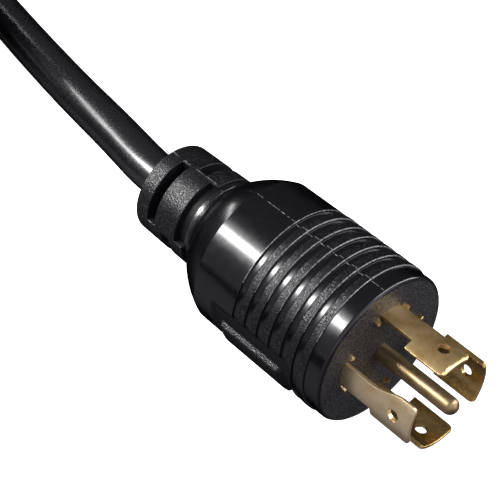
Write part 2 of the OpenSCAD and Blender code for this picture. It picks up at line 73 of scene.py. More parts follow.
# In mm and degrees, the same as in part.scad. A plug or connector is set out round X, with its
# face at 0 and its body behind. Directions round X are counted from +Y towards +Z, which is up.
NOSE_R, LAND_R = 27.25, 27.8                     # the nose ring, the tops of the ribs
BODY_R, CREASE_R = 27.6, 27.4                    # the body behind the ribs, at the shoulder
RIBS, PITCH, GROOVE_DEPTH, BODY_LEN = 6, 5.48, 1.05, 18.15
NECK_R, NECK_LEN = 16.2, 1.8
ARC, TILT = 37.4, math.radians(19.3)             # the shoulder's radius, its slope at the crease
ARC_R = CREASE_R - ARC * math.cos(TILT)
ARC_END = math.acos((NECK_R - ARC_R) / ARC)
SHOULDER = ARC * (math.sin(ARC_END) - math.sin(TILT))
COLLAR_R, COLLAR_TAPER, COLLAR_LEN = 17.3, 0.5, 24.15
SLOT_W, SLOT_PITCH, SLOT_WEB = 3.95, 7.1, 2.0
SLOT_ROWS = [(90, 15.3), (0, 11.5), (90, 11.5)]  # where a slot begins, the radius of its floor
PAD_AT, PAD_HALF, PAD_LEN, PAD_INSET, PAD_RISE = 203, 19, 28.7, 10.1, 0.55
BLADE_R, BLADE_T, BLADE_LEN = 17.76, 1.52, 28.4
PIN_R, PIN_LEN = 2.96, 32
CORD_R = 7.9
PLUG_NOSE, CON_NOSE = 6.35, 26.0
AXIS_H = LAND_R                                  # both ends lie on their ribs
CON_BACK, CON_Y = -124, -167                     # where the cord enters the connector


def shell_length(nose):
    return nose + RIBS * PITCH + BODY_LEN + SHOULDER + NECK_LEN + COLLAR_LEN


FACE_X = (shell_length(PLUG_NOSE) - PIN_LEN) / 2
CON_FACE = Vector((CON_BACK + shell_length(CON_NOSE), CON_Y, AXIS_H))
PLUG_FACE = Vector((FACE_X, 0, AXIS_H))

# ---------------------------------------------------------------- the cord's route

# The points and the winding of part.scad
LAY_H = CORD_R + 0.1                             # centreline where the cord lies on the floor
COIL_R, COIL_PITCH, LAYER_RISE, LAYERS = 67.0, 16.3, 16.3, 4
COIL_START, COIL_FROM, COIL_TO, FULL_TURNS = (-275.0, 31.5), 90, 288, 12
CLIMB = 0.5                                      # turns in which the cord climbs a layer
TURNS = FULL_TURNS + (COIL_TO - COIL_FROM) / 360
LAYER_TURNS = (TURNS - (LAYERS - 1) / 2) / LAYERS
COIL_OUTER = COIL_R + COIL_PITCH * LAYER_TURNS
COIL_MID = (COIL_START[0], COIL_START[1] - COIL_OUTER)
TURN_STEPS, LINE_STEPS = 48, 4                   # points to a turn, and to a step of a line
CORD_SIDES = 28


def half_wave(t):
    """From 0 to 1 in a level start and a level end."""
    return (1 - math.cos(math.pi * t)) / 2


def reversal(k):
    """The middle of the climb to layer k, in turns from the coil's start."""
    return k * LAYER_TURNS + (k - 0.5) / 2


def coil_point(t):
    """A point of the coil, t turns from its start: inwards, then outwards, and so on."""
    layer = sum(t > reversal(j) for j in range(1, LAYERS))
    gone = COIL_PITCH * (t - (reversal(layer) if layer else 0))
    if layer == 0:
        r = COIL_OUTER - gone
    elif layer % 2:
        r = COIL_R - COIL_PITCH / 4 + gone
    else:
        r = COIL_OUTER + COIL_PITCH / 4 - gone
    h = LAY_H
    for j in range(1, LAYERS):
        h += LAYER_RISE * half_wave(min(1, max(0, (t - reversal(j)) / CLIMB + 0.5)))
    a = math.radians(COIL_FROM + 360 * t)
    return Vector((COIL_MID[0] + r * math.cos(a), COIL_MID[1] + r * math.sin(a), h))


LEAD = [
    (FACE_X - shell_length(PLUG_NOSE), 0, AXIS_H), (-73.7, 0, AXIS_H), (-81.7, 0.6, 27.6),
    (-89.7, 1.8, 27.2), (-97.7, 3.2, 26.6), (-107.7, 4.9, 25.7), (-119.7, 6.9, 24.4),
    (-131.7, 9.1, 22.8), (-145.7, 11.9, 20.9), (-159.7, 14.9, 18.9), (-173.7, 18.1, 16.7),
    (-187.7, 21.4, 14.5), (-201.7, 24.7, 12.5), (-215.7, 27.7, 10.8), (-230.7, 30.1, 9.2),
    (-243, 31.2, 8.3), (-251, COIL_START[1], LAY_H), (-259.2, COIL_START[1], LAY_H)]
coil_end = math.radians(COIL_TO)
onward = Vector((-math.sin(coil_end), math.cos(coil_end), 0))
coil_out = coil_point(TURNS) + 2 * CORD_R * onward
TAIL = [
    coil_out, coil_out + 8 * onward, (-208.2, -176.9, 56.2), (-198.6, -174.3, 54),
    (-188.9, -172.1, 49.7), (-178.1, -170.2, 42.4), (-167.2, -168.7, 35),
    (-157.2, -167.7, 30.9), (-147.2, -167.1, 28.6), (-137.2, CON_Y, AXIS_H),
    (CON_BACK, CON_Y, AXIS_H)]


def smooth(points):
    """Points on a smooth curve through the given ones."""
    p = [Vector(q) for q in points]
    p = [2 * p[0] - p[1]] + p + [2 * p[-1] - p[-2]]
    line = []
    for a, b, c, d in zip(p, p[1:], p[2:], p[3:]):
        for i in range(LINE_STEPS):
            t = i / LINE_STEPS
            line.append(0.5 * (2 * b + (c - a) * t + (2 * a - 5 * b + 4 * c - d) * t * t
                               + (3 * b - a - 3 * c + d) * t ** 3))
    return line + [p[-2]]


steps = round(TURNS * TURN_STEPS)
route = smooth(LEAD) + [coil_point(TURNS * i / steps) for i in range(steps + 1)] + smooth(TAIL)


def finished(bm, name):
    """The mesh of a closed form, its normals pointing outwards."""
    bmesh.ops.recalc_face_normals(bm, faces=bm.faces)
    mesh = bpy.data.meshes.new(name)
    bm.to_mesh(mesh)
    bm.free()
    return mesh


def tube(line, r, sides):
    """A closed tube of radius r along a line of points in mm."""
    bm = bmesh.new()
    rings = []
    for i, p in enumerate(line):
        way = (line[min(i + 1, len(line) - 1)] - line[max(i - 1, 0)]).normalized()
        side = way.cross(Vector((0, 0, 1))).normalized()
        over = side.cross(way)
        rings.append([bm.verts.new(p + r * (side * math.cos(a) + over * math.sin(a)))
                      for a in (2 * math.pi * k / sides for k in range(sides))])
    for a, b in zip(rings, rings[1:]):
        for k in range(sides):
            j = (k + 1) % sides
            bm.faces.new((a[k], a[j], b[j], b[k]))
    bm.faces.new(rings[0][::-1])
    bm.faces.new(rings[-1])
    mesh = finished(bm, "cord")
    mesh.transform(Matrix.Scale(MM, 4))
    mesh.shade_smooth()
    return mesh


cord = added("cord", tube(route, CORD_R, CORD_SIDES))
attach(cord, "root")
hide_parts("cord_lead", "cord_coil", "cord_tail")
on_cord = [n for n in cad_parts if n.startswith(("connector_", "contact_"))]
on_cord.append("ground_sleeve")


# ---------------------------------------------------------------- materials

def wired(tree, kind, output, links, values):
    """An output of a new node whose inputs are linked or given values."""
    node = tree.nodes.new("ShaderNode" + kind)
    for key, source in links.items():
        tree.links.new(source, node.inputs[key])
    for key, value in values.items():
        node.inputs[key].default_value = value
    return node.outputs[output]


def ranged(tree, value, low, high, to_low, to_high):
    """A value from to_low to to_high, as another goes from low to high."""
    return wired(tree, "MapRange", "Result", {"Value": value},
                 {"From Min": low, "From Max": high, "To Min": to_low, "To Max": to_high})


class Look:
    """A material whose nodes work on the object's own coordinates, in mm."""

    def __init__(self, name, color, roughness, metallic=0.0, level=0.5):
        self.material = bpy.data.materials.new(name)
        self.material.use_nodes = True
        self.tree = self.material.node_tree
        self.shader = self.tree.nodes["Principled BSDF"].inputs
        self.shader["Base Color"].default_value = (*color, 1)
        self.shader["Roughness"].default_value = roughness
        self.shader["Metallic"].default_value = metallic
        self.shader["Specular IOR Level"].default_value = level
        place = self.tree.nodes.new("ShaderNodeTexCoord").outputs["Object"]
        self.mm = self.scaled(place, (1 / MM,) * 3)
        self.relief = None

    def scaled(self, place, scale):
        return wired(self.tree, "Mapping", "Vector", {"Vector": place}, {"Scale": scale})

    def noise(self, scale, detail=2.0, rough=0.5, stretch=None):
        place = self.scaled(self.mm, stretch) if stretch else self.mm
        return wired(self.tree, "TexNoise", "Fac", {"Vector": place},
                     {"Scale": scale, "Detail": detail, "Roughness": rough})

    def cells(self, scale):
        return wired(self.tree, "TexVoronoi", "Distance", {"Vector": self.mm}, {"Scale": scale})

    def tint(self, value, *stops):
        """Colours the surface by a value, through stops of (value, colour)."""
        node = self.tree.nodes.new("ShaderNodeValToRGB")
        ramp = node.color_ramp
        while len(ramp.elements) < len(stops):
            ramp.elements.new(0.5)
        for element, (at, color) in zip(ramp.elements, stops):
            element.position = at
            element.color = (*color, 1)
        self.tree.links.new(value, node.inputs["Fac"])
        self.tree.links.new(node.outputs["Color"], self.shader["Base Color"])

    def roughen(self, value, low, high, to_low, to_high):
        self.tree.links.new(ranged(self.tree, value, low, high, to_low, to_high),
                            self.shader["Roughness"])

    def bump(self, height, depth, strength=1.0):
        """A relief of a depth in mm, over the relief that there is already."""
        links = {"Height": height}
        if self.relief:
            links["Normal"] = self.relief
        self.relief = wired(self.tree, "Bump", "Normal", links,
                            {"Strength": strength, "Distance": depth * MM})
        self.tree.links.new(self.relief, self.shader["Normal"])


def smooth_vinyl():
    """Polished moulded vinyl: deep black, with faint waves and handling marks."""
    look = Look("smooth_vinyl", (0.002, 0.002, 0.0024), 0.24)
    marks = look.noise(0.35, detail=4, rough=0.6)
    look.tint(marks, (0.3, (0.0016, 0.0016, 0.002)), (0.75, (0.003, 0.003, 0.0036)))
    look.roughen(marks, 0.25, 0.75, 0.16, 0.23)
    look.bump(look.noise(0.12, detail=1), depth=0.1, strength=0.4)
    look.bump(look.noise(2.6, detail=3), depth=0.003, strength=0.5)
    return look.material


def grained_vinyl():
    """The spark-eroded texture of the grips: grains of about 0.4 mm, some of them shiny and paler,
    which is partly the grain's own tone and partly painted glints.
    """
    look = Look("grained_vinyl", (0.004, 0.004, 0.0045), 0.4, level=0.34)
    grain_and_glints = look.noise(1.5, rough=0.6)
    look.tint(grain_and_glints, (0.5, (0.001, 0.001, 0.0013)), (0.66, (0.022, 0.022, 0.024)))
    look.roughen(grain_and_glints, 0.4, 0.65, 0.42, 0.12)
    look.bump(look.noise(1.7, detail=3, rough=0.6), depth=0.08)
    look.bump(look.cells(2.2), depth=0.1)
    return look.material


def face_vinyl():
    """The face between the blades: matte, lightly speckled."""
    look = Look("face_vinyl", (0.1, 0.098, 0.1), 0.5, level=0.22)
    grain = look.cells(1.5)
    look.tint(grain, (0.2, (0.08, 0.077, 0.079)), (0.45, (0.016, 0.016, 0.017)))
    look.roughen(grain, 0.1, 0.6, 0.26, 0.5)
    look.bump(look.noise(0.8, detail=3), depth=0.2)
    look.bump(grain, depth=0.17)
    return look.material


def cord_vinyl():
    """An extruded jacket: satin black, with a slight orange peel."""
    look = Look("cord_vinyl", (0.003, 0.003, 0.0035), 0.3, level=1.0)
    look.tint(look.noise(0.15, detail=3),
              (0.3, (0.0022, 0.0022, 0.0027)), (0.75, (0.004, 0.004, 0.0046)))
    peel = look.noise(1.1, detail=3, rough=0.55)
    look.roughen(peel, 0.3, 0.7, 0.2, 0.29)
    look.bump(peel, depth=0.004, strength=0.6)
    return look.material


def painted_highlight_vinyl():
    """Sharp edges and the mould's seam, paled in colour: a painted highlight, broken up in
    patches.
    """
    look = Look("painted_highlight_vinyl", (0.06, 0.06, 0.064), 0.25, level=1.0)
    highlight_patches = look.noise(1.4, detail=3, rough=0.6)
    look.tint(highlight_patches, (0.35, (0.02, 0.02, 0.022)), (0.65, (0.2, 0.2, 0.21)))
    look.roughen(highlight_patches, 0.3, 0.7, 0.2, 0.34)
    look.bump(highlight_patches, depth=0.03, strength=0.5)
    return look.material


def moulded_plastic(name, color, grain_mm=0.5, level=0.5):
    """Matte vinyl, nylon or insulation of any colour, with a fine grain."""
    look = Look(name, color, 0.5, level=level)
    look.tint(look.noise(0.3, detail=3), (0.35, tuple(0.8 * c for c in color)), (0.7, color))
    grain = look.noise(1 / grain_mm, detail=3)
    look.roughen(grain, 0.3, 0.7, 0.42, 0.6)
    look.bump(grain, depth=0.02, strength=0.6)
    return look.material


def brushed_brass(name, tones, rough, stretch=(0.12, 1, 1), depth=0.012):
    """Brass with tarnish in patches of three tones, fine lines and a soft shine."""
    look = Look(name, tones[0], 0.4, metallic=1.0)
    look.tint(look.noise(0.16, detail=4, rough=0.6), *zip((0.3, 0.55, 0.8), tones))
    lines = look.noise(5.5, detail=4, rough=0.6, stretch=stretch)
    look.roughen(lines, 0.3, 0.7, *rough)
    look.bump(look.noise(0.5), depth=0.05, strength=0.4)
    look.bump(lines, depth=depth, strength=0.8)
    return look.material


# The materials of a moulded shell, and the place of each in the list
SHELL_LOOKS = [smooth_vinyl(), grained_vinyl(), face_vinyl(), cord_vinyl(),
               moulded_plastic("dull_vinyl", (0.005, 0.005, 0.006), level=0.15), painted_highlight_vinyl()]
# The last of these looks paints a highlight on the ribs' front edges and the seam
SMOOTH, GRAINED, FACE, CORD, DULL, PAINTED_HIGHLIGHT = range(6)

# All the blades are the same brass: the paler tones of blade_z paint the light on it, the darker
# tones of blade_y and the neutral blade paint their shade, and the pin's still darker tones partly
# paint the shade that the blades throw on it
BLADE_BRASS = brushed_brass(
    "blade_brass", [(0.60, 0.40, 0.15), (0.86, 0.60, 0.27), (0.95, 0.74, 0.42)], (0.3, 0.46))
PAINTED_SHADE_BRASS = brushed_brass(
    "painted_shade_brass", [(0.36, 0.24, 0.08), (0.55, 0.38, 0.14), (0.70, 0.50, 0.22)], (0.2, 0.34))
PAINTED_LIGHT_BRASS = brushed_brass(
    "painted_light_brass", [(0.80, 0.60, 0.32), (0.98, 0.78, 0.48), (1.0, 0.86, 0.60)], (0.32, 0.46))
PIN_BRASS = brushed_brass(
    "pin_brass", [(0.24, 0.17, 0.08), (0.34, 0.25, 0.14), (0.38, 0.29, 0.18)], (0.34, 0.5),
    stretch=(0.4, 0.05, 0.05), depth=0.03)

WIRE_COLORS = {"x": (0.02, 0.02, 0.02), "y": (0.5, 0.03, 0.03), "z": (0.75, 0.25, 0.03),
               "neutral": (0.8, 0.8, 0.78), "ground": (0.03, 0.3, 0.07)}


def dress(look, *nodes):
    """Gives CAD nodes that stay, in view or inside, their material."""
    for node in nodes:
        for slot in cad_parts[node].material_slots:
            slot.material = look


for pole, color in WIRE_COLORS.items():
    dress(moulded_plastic("insulation_" + pole, color, grain_mm=1.2),
          "plug_wire_" + pole, "connector_wire_" + pole)
dress(moulded_plastic("inner_plastic", (0.05, 0.05, 0.055)),
      "blade_carrier", "plug_inner_mould", "connector_inner_mould")
dress(moulded_plastic("insert_plastic", (0.02, 0.02, 0.022)), "connector_insert")
dress(BLADE_BRASS, "contact_x", "contact_y", "contact_z", "contact_neutral", "ground_sleeve")
dress(SHELL_LOOKS[CORD], "plug_cord_end", "connector_cord_end")
cord.data.materials.append(SHELL_LOOKS[CORD])


# ---------------------------------------------------------------- mesh helpers

def ease(t):
    """From 0 to 1 in a level start and a level end, and no further."""
    t = min(1, max(0, t))
    return t * t * (3 - 2 * t)


def arc(r, off):
    """Height of an arc of radius r, at a distance from its middle."""
    return math.sqrt(max(0, r ** 2 - off ** 2))


def lookup(table, u):
    """A value between the points of a short table that runs along u."""
    if u <= table[0][0]:
        return table[0][1]
    for (a, p), (b, q) in zip(table, table[1:]):
        if u <= b:
            return p + (q - p) * (u - a) / (b - a)
    return table[-1][1]


def spaced(values, least):
    """The values in order, without those that lie too near the one before."""
    kept = []
    for v in sorted(values):
        if not kept or v - kept[-1] >= least:
            kept.append(v)
    return kept


def turn_from(angle, to):
    """Turn between two directions, at most half a turn."""
    return abs((angle - to + 180) % 360 - 180)


def turn_from_pair(angle, to):
    """Turn from the nearer of two opposite directions."""
    return min(turn_from(angle, to), turn_from(angle, to + 180))


def polar(angle, r, x):
    a = math.radians(angle)
    return (x, r * math.cos(a), r * math.sin(a))


def revolve(bm, profile, sides, middle=(0, 0)):
    """A closed ring or rod round X from a profile of (x, radius); 0 radii close an end."""
    rings = []
    for x, r in profile:
        if r == 0:
            rings.append([bm.verts.new((x, *middle))])
        else:
            rings.append([bm.verts.new((x, middle[0] + r * math.cos(2 * math.pi * k / sides),
                                        middle[1] + r * math.sin(2 * math.pi * k / sides)))
                          for k in range(sides)])
    for a, b in zip(rings, rings[1:]):
        for k in range(sides):
            j = (k + 1) % sides
            if len(a) == 1:
                bm.faces.new((a[0], b[k], b[j]))
            elif len(b) == 1:
                bm.faces.new((a[k], b[0], a[j]))
            else:
                bm.faces.new((a[k], b[k], b[j], a[j]))


def make(name, mesh, place, looks, node, sharp):
    """Turns a mesh in mm round a local origin into a named piece of the part; an edge that
    turns by more than sharp degrees stays sharp."""
    mesh.transform(Matrix.Translation(place * MM) @ Matrix.Scale(MM, 4))
    for look in looks:
        mesh.materials.append(look)
    mesh.shade_smooth()
    mesh.set_sharp_from_angle(angle=math.radians(sharp))
    piece = added(name, mesh)
    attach(piece, "root")
    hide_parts(node)
    return piece


# ---------------------------------------------------------------- the moulded shells

# Loss of radius from a rib to the next one in front of it: land, front edge at 0, wall, floor
# of the groove, flank
GROOVE = [(-2.75, 0.0), (-2.6, 0.0), (-1.4, 0.0), (-0.62, 0.0), (-0.42, 0.01), (-0.3, 0.03),
          (-0.17, 0.08), (-0.08, 0.15), (-0.03, 0.24), (0.0, 0.4), (0.03, 0.88), (0.1, 1.01),
          (0.22, 1.05), (1.1, 1.05), (1.95, 1.05), (2.1, 1.0), (2.2, 0.88), (2.5, 0.35),
          (2.6, 0.18), (2.68, 0.07), (2.8, 0.0)]
WALL_END = 0.03                                  # the first rib's wall ends in the nose ring
GRAIN_DEPTH = 0.12                               # the grain stops at this depth under the rib
PAINTED_HIGHLIGHT_EDGE, PAINTED_HIGHLIGHT_TURN = (-0.18, -0.01), 54        # strip of a rib's front edge paled with a painted highlight, its reach from a seam
RIM_ROUND, COLLAR_ROUND = 1.4, 0.5
COLLAR_FRONT = [(0, 0.32), (0.05, 0.2), (0.13, 0.1), (0.26, 0.03), (0.45, 0)]
BEAD_BACK, BEAD_HALF, BEAD_RISE = 0.35, 0.3, 0.16
# Share of a slot's depth, from its edge inwards
SLOT_EDGE = [(-0.3, 0.0), (-0.16, 0.005), (-0.06, 0.018), (0.0, 0.045), (0.04, 0.9),
             (0.12, 0.98), (0.3, 1.0)]
SLOT_SHOWS = 0.06
# Share of the pad's height, from its outline inwards in shares of PAD_EDGE
PAD_SLOPE = [(0, 0), (0.08, 0.03), (0.9, 0.93), (1, 1)]
PAD_EDGE, PAD_CORNER, PAD_SHOWS = 1.4, 1.7, 0.02
PLAIN_HALF = 31                                  # no grain on the ribs this near the pad
# The valley's reach and slope beside the pad in degrees, past its ends in mm, and the depth
# from which it looks dull
VALLEY_FROM, VALLEY_SLOPE, VALLEY_PAST, VALLEY_RUN, VALLEY_SHOWS = 34, 7, 5, 3.5, 0.25
SEAM_AT, SEAM_HALF, SEAM_RISE, SEAM_FRONT = 90, 0.2, 0.07, -0.3
# The seam's height goes up and down in two waves along X: size, rate, start
SEAM_MEAN, SEAM_WAVES, SEAM_ON_RIBS = 0.68, ((0.2, 2.9, 0), (0.12, 1.1, 1)), 1.2
# Where the seam's ridge stands higher than this, it gets a painted highlight
SEAM_HIGHLIGHT_FROM = 0.72 * SEAM_RISE
MOUTH = [(0, 9.0), (0.2, 8.4), (0.7, 8.05)]      # the cord's way in, from the collar's back
# Where points are set closer: inwards from the pad's ends in mm and from its sides in degrees,
# and outwards from the edge of the ribs' plain part in degrees
PAD_ENDS = (-3, -2.2, -1.5, -0.8, -0.1, 0, 0.09, 0.35, 0.6, 0.9, 1.15, 1.35, 1.5, 1.8, 2.3,
            2.9, 3.5)
PAD_SIDES = (-0.2, 0, 0.23, 0.85, 1.45, 2.0, 2.6, 2.9, 3.5, 4.5, 6, 7.5)
PLAIN_SIDES = (-6, -3.5, -1.5, 0, 1.5, 3, 4.5, 6, 8)
LEAST_STEP, LEAST_TURN = 0.018, 0.07


class Shell:
    """The outer skin of a moulded plug or connector, set out round X from its face at 0."""

    def __init__(self, nose):
        self.nose = nose
        self.ribs_back = -nose - RIBS * PITCH
        self.crease = self.ribs_back - BODY_LEN
        self.neck = self.crease - SHOULDER
        self.collar = self.neck - NECK_LEN
        self.back = self.collar - COLLAR_LEN
        self.pad_mid = -nose - PAD_INSET - PAD_LEN / 2

    def bare(self, x):
        """Radius without grooves, slots or pad."""
        if x > -RIM_ROUND:
            return NOSE_R - RIM_ROUND + arc(RIM_ROUND, x + RIM_ROUND)
        if x > -self.nose:
            return NOSE_R
        if x > self.ribs_back:
            return LAND_R
        if x > self.crease:
            return CREASE_R + (BODY_R - CREASE_R) * (x - self.crease) / BODY_LEN
        if x > self.neck:
            return ARC_R + arc(ARC, self.crease - x + ARC * math.sin(TILT))
        if x > self.collar:
            return NECK_R + BEAD_RISE * arc(1, (self.neck - BEAD_BACK - x) / BEAD_HALF)
        behind = self.collar - x
        r = COLLAR_R + COLLAR_TAPER * (0.5 - behind / COLLAR_LEN) - lookup(COLLAR_FRONT, behind)
        left = COLLAR_ROUND - (x - self.back)
        return r - COLLAR_ROUND + arc(COLLAR_ROUND, left) if left > 0 else r

    def groove(self, x):
        """(depth under the ribs' radius, whether this is the strip of a rib's front edge that gets
        a painted highlight).
        """
        for k in range(RIBS + 1):
            u = x + self.nose + k * PITCH
            if GROOVE[0][0] < u < GROOVE[-1][0]:
                return lookup(GROOVE, u), PAINTED_HIGHLIGHT_EDGE[0] < u < PAINTED_HIGHLIGHT_EDGE[1]
        return 0, False

    def valley(self, x, angle):
        """Depth of the smooth valley round the pad, which the grooves run into."""
        side = (VALLEY_FROM - turn_from(angle, PAD_AT)) / VALLEY_SLOPE
        end = (PAD_LEN / 2 + VALLEY_PAST - abs(x - self.pad_mid)) / VALLEY_RUN
        return GROOVE_DEPTH * ease(side) * ease(end)

    def pad(self, x, angle):
        """How far the pad stands up here, from 0 to 1."""
        across = math.radians(turn_from(angle, PAD_AT) - PAD_HALF) * LAND_R
        dx = max(0, abs(x - self.pad_mid) - PAD_LEN / 2 + PAD_CORNER)
        dy = max(0, across + PAD_CORNER)
        return lookup(PAD_SLOPE, (PAD_CORNER - math.hypot(dx, dy)) / PAD_EDGE)

    def slot(self, x, angle):
        """(share of a slot's depth, its floor's radius) at a point of the collar."""
        for row, (first, floor_r) in enumerate(SLOT_ROWS):
            front = self.collar - row * SLOT_PITCH
            share = lookup(SLOT_EDGE, x - front + SLOT_W)
            if row:
                share = min(share, lookup(SLOT_EDGE, front - x))
            side = 45 - turn_from_pair(angle, first + 45) - SLOT_WEB
            share *= lookup(SLOT_EDGE, math.radians(side) * COLLAR_R)
            if share > 0:
                return share, floor_r
        return 0, 0

    def seam(self, x, angle):
        """Height of the fine ridge where the mould's halves met."""
        off = turn_from_pair(angle, SEAM_AT)
        if off >= SEAM_HALF or x > SEAM_FRONT:
            return 0
        share = sum((size * math.sin(rate * x + at) for size, rate, at in SEAM_WAVES), SEAM_MEAN)
        if self.ribs_back < x < -self.nose:
            share *= SEAM_ON_RIBS
        return SEAM_RISE * (1 - off / SEAM_HALF) * share

    def point(self, x, angle):
        """(radius, look) of the skin at a point."""
        r, look = self.bare(x), SMOOTH
        if x > self.neck - 0.01:
            depth, edge = self.groove(x)
            valley, up = self.valley(x, angle), self.pad(x, angle)
            if x <= -self.nose:
                r = min(r, LAND_R - max(depth, valley))
            r += (LAND_R + PAD_RISE - r) * up
            if up > PAD_SHOWS:
                look = GRAINED
            elif x < -self.nose and valley > VALLEY_SHOWS:
                look = DULL
            # front edges of the ribs near the seams get a painted highlight
            elif edge and turn_from_pair(angle, SEAM_AT) < PAINTED_HIGHLIGHT_TURN:
                look = PAINTED_HIGHLIGHT
            elif (self.ribs_back < x < -self.nose and depth < GRAIN_DEPTH
                  and turn_from(angle, PAD_AT) >= PLAIN_HALF):
                look = GRAINED
        elif x > self.collar:
            look = CORD
        else:
            share, floor_r = self.slot(x, angle)
            r -= (r - floor_r) * share
            look = GRAINED if share < SLOT_SHOWS and x < self.collar else DULL
        ridge = self.seam(x, angle)
        # higher stretches of the seam in front of the crease get a painted highlight
        if ridge and look in (SMOOTH, GRAINED):
            look = PAINTED_HIGHLIGHT if x > self.crease and ridge > SEAM_HIGHLIGHT_FROM else SMOOTH
        return r + ridge, look

    def stations(self):
        """Stations along X from the rim to the back, closer where the form turns."""
        rows = [-RIM_ROUND + RIM_ROUND * math.cos(math.radians(9 * i)) for i in range(1, 11)]
        rows += [-RIM_ROUND - (self.nose - RIM_ROUND) * i / 6 for i in range(1, 6)]
        for k in range(RIBS + 1):
            rows += [u - self.nose - k * PITCH for u, _ in GROOVE if k or u <= WALL_END]
        rows += [self.crease + BODY_LEN * i / 18 for i in range(19)]
        rows += [self.crease + d for d in (0.25, 0.08, -0.08, -0.25)]
        rows += [self.crease - SHOULDER * i / 28 for i in range(1, 29)]
        for end in (-1, 1):
            rows += [self.pad_mid + end * (PAD_LEN / 2 - d) for d in PAD_ENDS]
        rows += [self.neck - BEAD_BACK + BEAD_HALF * d for d in (-1, -0.85, -0.5, 0, 0.5, 0.85, 1)]
        rows += [self.collar + d for d in (0.7, 0.25, 0.02)]
        rows += [self.collar - d for d, _ in COLLAR_FRONT]
        for row in range(len(SLOT_ROWS)):
            front = self.collar - row * SLOT_PITCH
            for u, _ in SLOT_EDGE:
                rows += [front - u, front - SLOT_W + u]
            rows += [front - SLOT_W * s for s in (0.3, 0.5, 0.7)]
        rows += [self.collar - 20.5, self.collar - 22]
        rows += [self.back + COLLAR_ROUND * (1 - math.cos(math.radians(15 * i)))
                 for i in range(1, 7)]
        rows = [x for x in rows if self.back < x < -0.001]
        return spaced(rows, LEAST_STEP)[::-1] + [self.back]

    def directions(self):
        """Directions round X, closer where the form turns."""
        turns = [3 * i for i in range(120)]
        for quarter in (0, 90, 180, 270):
            for u, _ in SLOT_EDGE:
                d = SLOT_WEB + math.degrees(u / COLLAR_R)
                turns += [quarter + d, quarter - d]
        for seam in (SEAM_AT, SEAM_AT + 180):
            turns += [seam + d for d in (-0.3, -SEAM_HALF, 0, SEAM_HALF, 0.3)]
        for side in (-1, 1):
            turns += [PAD_AT + side * (PLAIN_HALF + d) for d in PLAIN_SIDES]
            turns += [PAD_AT + side * (PAD_HALF - d) for d in PAD_SIDES]
        return spaced([t % 360 for t in turns], LEAST_TURN)

    def build(self, name, place, node, inner):
        """The skin, from the middle of its face to the cord's way in; inner is a list of
        (station, radius) for what lies inside the rim of the face."""
        bm = bmesh.new()
        turns = self.directions()
        every = len(turns)
        rings, looks = [], []

        def ring(x, radii, its_looks):
            rings.append([bm.verts.new(polar(a, r, x)) for a, r in zip(turns, radii)])
            looks.append(its_looks)

        for x, r in inner:
            ring(x, [r] * every, [GRAINED] * every)
        for x in self.stations():
            ring(x, *zip(*(self.point(x, a) for a in turns)))
        for d, r in MOUTH:
            ring(self.back + d, [r] * every, [GRAINED] * every)
        for i, (a, b) in enumerate(zip(rings, rings[1:])):
            for k in range(every):
                j = (k + 1) % every
                face = bm.faces.new((a[k], b[k], b[j], a[j]))
                around = [looks[i][k], looks[i][j], looks[i + 1][k], looks[i + 1][j]]
                if i < len(inner) - 1:
                    face.material_index = FACE
                elif around.count(GRAINED) >= 3:
                    face.material_index = GRAINED
                else:
                    face.material_index = max(look for look in around if look != GRAINED)
        for end, x, look in ((rings[0], inner[0][0], FACE),
                             (rings[-1], self.back + MOUTH[-1][0], GRAINED)):
            mid = bm.verts.new((x, 0, 0))
            for k in range(every):
                bm.faces.new((end[k], end[(k + 1) % every], mid)).material_index = look
        return make(name, finished(bm, name), place, SHELL_LOOKS, node,
                    sharp=48)


FACE_R = NOSE_R - RIM_ROUND
SEAT_R, SEAT_BACK = 23.1, -36.1                  # the bore that the connector's insert sits in
Shell(PLUG_NOSE).build("plug_shell", PLUG_FACE, "plug_body",
                       [(0, r) for r in (4, 12, 20, FACE_R - 0.6, FACE_R)])
on_cord.append(Shell(CON_NOSE).build(
    "connector_shell", CON_FACE, "connector_body",
    [(SEAT_BACK, SEAT_R), (-0.3, SEAT_R), (-0.06, SEAT_R + 0.06), (0, SEAT_R + 0.25),
     (0, FACE_R)]))


# ---------------------------------------------------------------- blades and pin

MID_R = BLADE_R - BLADE_T / 2
TURN = -10.5                                     # how far the ring of blades is turned
# Each blade: direction, edges of its neck, edges of its tip, where the tip starts, flared, look
# The looks paint light on blade_z and shade on blade_y and the neutral blade
BLADES = {
    "blade_x": (TURN + 90, (-15, 15), (-16, 27), 13.0, False, BLADE_BRASS),
    "blade_y": (TURN, (-15, 15), (-30, 28), 11.8, False, PAINTED_SHADE_BRASS),
    "blade_z": (TURN + 181, (-14.5, 16), (-23.5, 28.5), 12.4, True, PAINTED_LIGHT_BRASS),
    "blade_neutral": (TURN + 270, (-15, 15), (-23, 27), 11.8, False, PAINTED_SHADE_BRASS),
}
TAIL_X, TAIL_HALF, CARRIER_BACK = -22.3, 7, -13.2
EARS, EAR_X, ROOT_X = (-27, 28), -0.5, -0.4      # the ears end, and the notches end, in the face
NUB_OUT, NUB_IN, NUB_FOOT, NUB_H, NUB_TOP = 3, 1.9, 0.6, 1.6, 0.2
FLARE_STEPS = 12
HOLE_X, HOLE_R, HOLE_SIDES, TIP_ROUND = 21.7, 2.0, 24, 1.8
# The blade is cut into strips so that it can bend, off the whole mm where its corners may be
STRIPS, STRIP_OFF = range(-8, 9), 0.013
RIM_ANGLE, RIM_BEVEL = 1.2, 0.16
# The tip's outer side comes down over the last mm, its inner side up over the last 0.3 mm
TIP_DOWN, TIP_UP, TIP_DOWN_BY, TIP_UP_BY = 1, 0.3, 0.6, 0.2
BARREL_R, BARREL_BORE, BARREL_FRONT, BARREL_BACK, BARREL_EDGE = 3.3, 2.3, -20.3, -35.2, 0.15
SHANK_R, FLANGE_R = 3.26, 4.46


